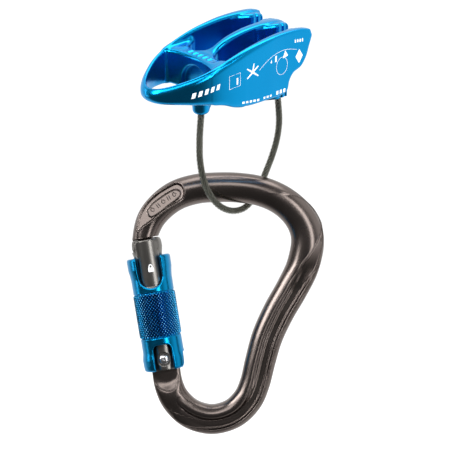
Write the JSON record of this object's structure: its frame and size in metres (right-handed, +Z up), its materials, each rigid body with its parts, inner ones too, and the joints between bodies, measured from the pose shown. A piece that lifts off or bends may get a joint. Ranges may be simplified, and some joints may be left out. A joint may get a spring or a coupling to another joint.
{
  "type": "belay device set",
  "caption": "Tube-style belay device with a keeper cable that holds a pear-shaped locking carabiner with a lift-and-twist sleeve.",
  "frame": {"origin": "middle of the device's front eye, where the set is held", "axes": "+Z up, +X to the right across the carabiner, +Y through the carabiner from front to back"},
  "size_m": [0.0823, 0.0706, 0.1754],
  "materials": {
    "blue_anodised": "bright blue anodised, polished",
    "gunmetal": "dark warm grey anodised, satin gloss",
    "gate_grey": "grey anodised, satin",
    "sleeve_blue": "blue anodised, knurled middle",
    "bright_steel": "polished",
    "spring_steel": "drawn wire",
    "wire_rope": "stranded, dull",
    "clear_coat": "clear flexible coat",
    "bronze": "turned"
  },
  "bodies": {
    "device": {"device_body": "blue_anodised", "front_ferrule": "bright_steel", "rear_ferrule": "bright_steel"},
    "keeper_loop": {"cable_core": "wire_rope", "cable_jacket": "clear_coat"},
    "carabiner": {"frame": "gunmetal"},
    "gate": {"gate_barrel": "gate_grey", "hinge_rivet": "bright_steel", "gate_spring": "spring_steel", "retaining_ring": "spring_steel", "sleeve_spring": "spring_steel"},
    "plunger": {"gate_plunger": "bright_steel"},
    "guide": {"guide_ring": "bronze", "guide_pin": "bright_steel"},
    "sleeve": {"lock_sleeve": "sleeve_blue"}
  },
  "joints": [
    {"name": "loop_swing", "type": "hinge", "parent": "device", "child": "keeper_loop", "pos_m": [0.01258, 0.017, -0.01086], "axis": [0.7497, 0.4475, 0.4875], "range_deg": [-14, 14], "stiffness_Nm_per_rad": 0.15, "springref_deg": 5.73},
    {"name": "carabiner_swing", "type": "hinge", "parent": "keeper_loop", "child": "carabiner", "pos_m": [0.0212, 0.049, -0.0395], "axis": [0, 1, 0], "range_deg": [-25, 8]},
    {"name": "gate_swing", "type": "hinge", "parent": "carabiner", "child": "gate", "pos_m": [-0.0032, 0.049, -0.1105], "axis": [0, 1, 0], "range_deg": [0, 25], "stiffness_Nm_per_rad": 0.3, "springref_deg": -17.19},
    {"name": "plunger_slide", "type": "slide", "parent": "gate", "child": "plunger", "axis": [-0.1599, 0, 0.9871], "range_m": [0, 0.0015], "deforming": ["gate_spring"]},
    {"name": "sleeve_lift", "type": "slide", "parent": "gate", "child": "guide", "axis": [-0.1599, 0, 0.9871], "range_m": [0, 0.003], "stiffness_N_per_m": 500, "springref_m": -0.004, "deforming": ["sleeve_spring"]},
    {"name": "sleeve_twist", "type": "hinge", "parent": "guide", "child": "sleeve", "pos_m": [-0.0032, 0.049, -0.1105], "axis": [-0.1599, 0, 0.9871], "range_deg": [0, 90], "stiffness_Nm_per_rad": 0.02, "springref_deg": -17.19}
  ],
  "couplings": [
    {"joint": "plunger_slide", "follows": "gate_swing", "m_per_rad": 0.0032}
  ]
}
